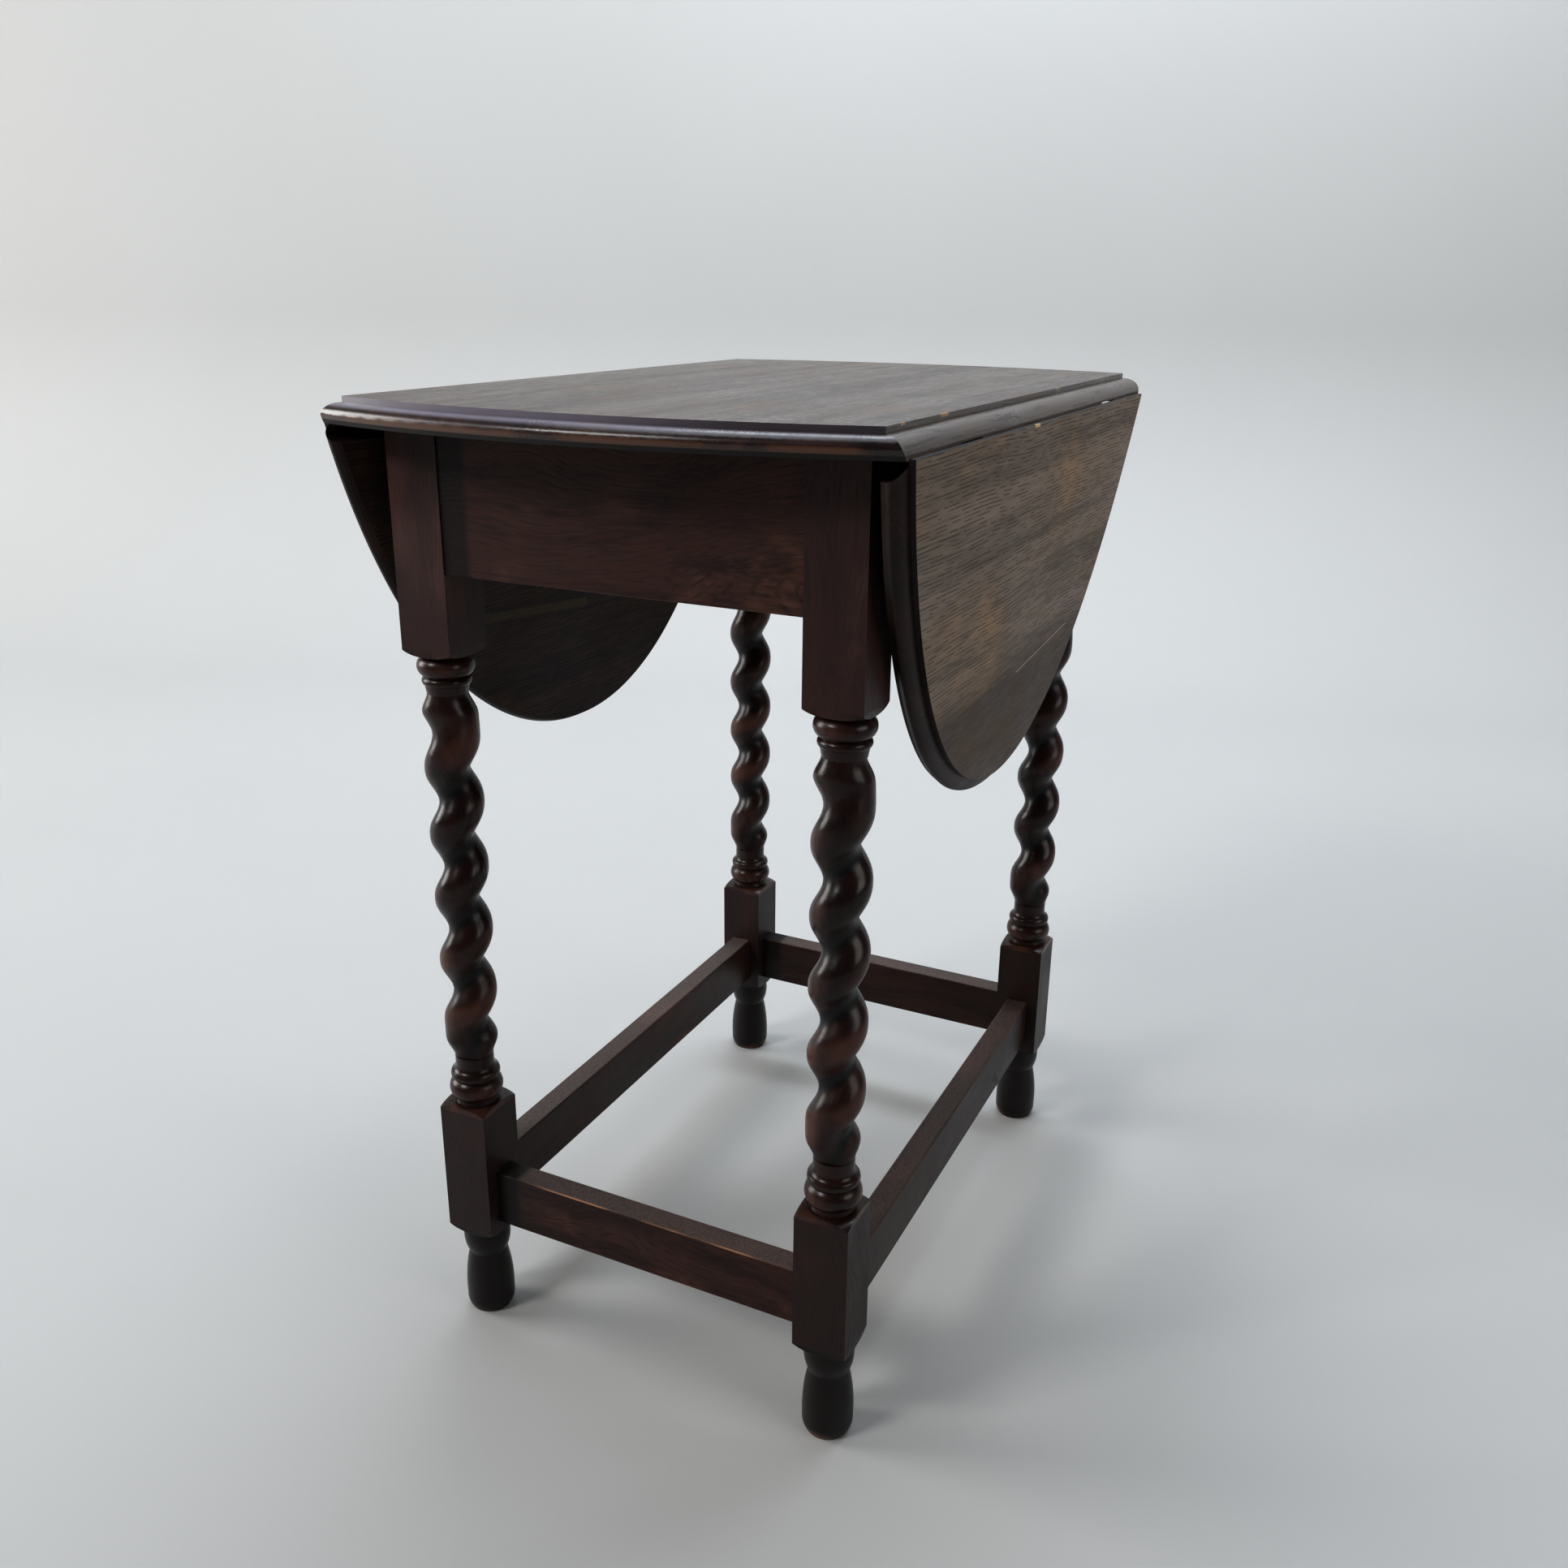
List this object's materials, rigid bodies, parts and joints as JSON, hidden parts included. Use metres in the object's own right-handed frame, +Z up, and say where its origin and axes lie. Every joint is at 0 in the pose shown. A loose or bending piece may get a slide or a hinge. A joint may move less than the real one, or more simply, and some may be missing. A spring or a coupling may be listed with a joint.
{
  "type": "drop-leaf table",
  "caption": "Oval drop-leaf table on four barley-twist legs, with rule-jointed leaves, a moulded edge and a box stretcher",
  "frame": {"origin": "On the floor, under the middle of the top, midway between the four feet", "axes": "+Z up, Y along the rule joints with the front end at -Y, X across the table with the leaves hanging on +X and -X"},
  "size_m": [0.4074, 0.6112, 0.71],
  "materials": {
    "wood_top": "worn matte",
    "wood_leaf": "worn matte",
    "wood_frame": "dark satin polish",
    "wood_bare": "unfinished",
    "hinge_steel": "dulled",
    "screw_steel": "dulled"
  },
  "bodies": {
    "frame": {"top_centre": "wood_top", "leg_front_right": "wood_frame", "leg_front_left": "wood_frame", "leg_back_right": "wood_frame", "leg_back_left": "wood_frame", "apron_front": "wood_frame", "apron_back": "wood_frame", "stretcher_front": "wood_frame", "stretcher_back": "wood_frame", "stretcher_right": "wood_frame", "stretcher_left": "wood_frame", "side_rail_right": "wood_frame", "side_rail_left": "wood_frame", "fly_right": "wood_bare", "fly_left": "wood_bare", "fly_block_right": "wood_bare", "fly_block_left": "wood_bare", "corner_block_front_right": "wood_bare", "corner_block_front_left": "wood_bare", "corner_block_back_right": "wood_bare", "corner_block_back_left": "wood_bare", "fly_pin_right": "hinge_steel", "fly_pin_left": "hinge_steel", "hinge_plate_right_front": "hinge_steel", "hinge_plate_right_back": "hinge_steel", "hinge_plate_left_front": "hinge_steel", "hinge_plate_left_back": "hinge_steel", "hinge_pin_right_front": "hinge_steel", "hinge_pin_right_back": "hinge_steel", "hinge_pin_left_front": "hinge_steel", "hinge_pin_left_back": "hinge_steel", "hinge_screws_top": "screw_steel", "top_screws": "screw_steel", "fly_screws": "screw_steel"},
    "leaf_right": {"leaf_right": "wood_leaf", "hinge_strap_right_front": "hinge_steel", "hinge_strap_right_back": "hinge_steel", "hinge_screws_right": "screw_steel"},
    "leaf_left": {"leaf_left": "wood_leaf", "hinge_strap_left_front": "hinge_steel", "hinge_strap_left_back": "hinge_steel", "hinge_screws_left": "screw_steel"}
  },
  "joints": [
    {"name": "leaf_right_hinge", "type": "hinge", "parent": "frame", "child": "leaf_right", "pos_m": [0.1855, 0, 0.694], "axis": [0, -1, 0], "range_deg": [0, 95.1]},
    {"name": "leaf_left_hinge", "type": "hinge", "parent": "frame", "child": "leaf_left", "pos_m": [-0.1855, 0, 0.694], "axis": [0, 1, 0], "range_deg": [0, 89]}
  ]
}
